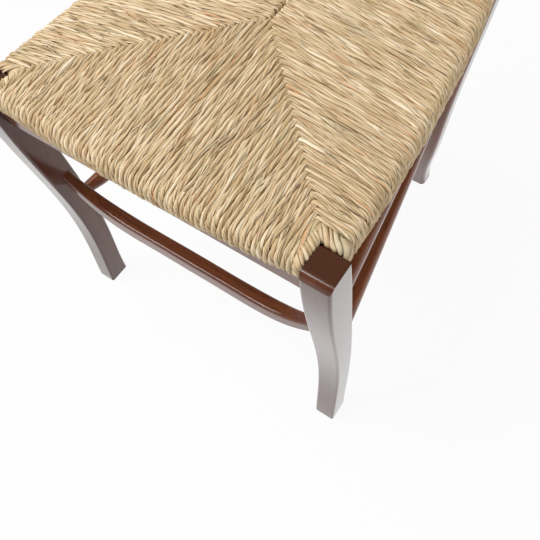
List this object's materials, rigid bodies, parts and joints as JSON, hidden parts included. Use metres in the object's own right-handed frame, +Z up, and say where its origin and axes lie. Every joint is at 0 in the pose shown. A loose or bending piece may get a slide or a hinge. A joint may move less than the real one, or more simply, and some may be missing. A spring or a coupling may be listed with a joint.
{
  "type": "ladderback chair",
  "caption": "Ladder-back side chair with bowed slats between raked posts, sabre front legs, round side rods and a woven rush seat on four rails.",
  "frame": {"origin": "on the floor under the middle of the chair's overall box", "axes": "+Z up, -Y towards the chair's front, +X to the right of someone looking at its front"},
  "size_m": [0.4578, 0.5224, 0.9],
  "materials": {
    "wood": "walnut-brown stained beech under gloss lacquer",
    "rush": "twisted dried rush cord, hand woven",
    "packing": "loose dry straw stuffing"
  },
  "bodies": {
    "root": {"front_leg_left": "wood", "front_leg_right": "wood", "back_post_left": "wood", "back_post_right": "wood", "front_seat_rail": "wood", "back_seat_rail": "wood", "left_seat_rail": "wood", "right_seat_rail": "wood", "front_apron": "wood", "front_stretcher": "wood", "back_stretcher": "wood", "side_stretcher_lower_left": "wood", "side_stretcher_lower_right": "wood", "side_stretcher_upper_left": "wood", "side_stretcher_upper_right": "wood", "slat_1": "wood", "slat_2": "wood", "slat_3": "wood", "slat_4": "wood", "rush_seat": "rush", "seat_packing": "packing"}
  },
  "joints": []
}
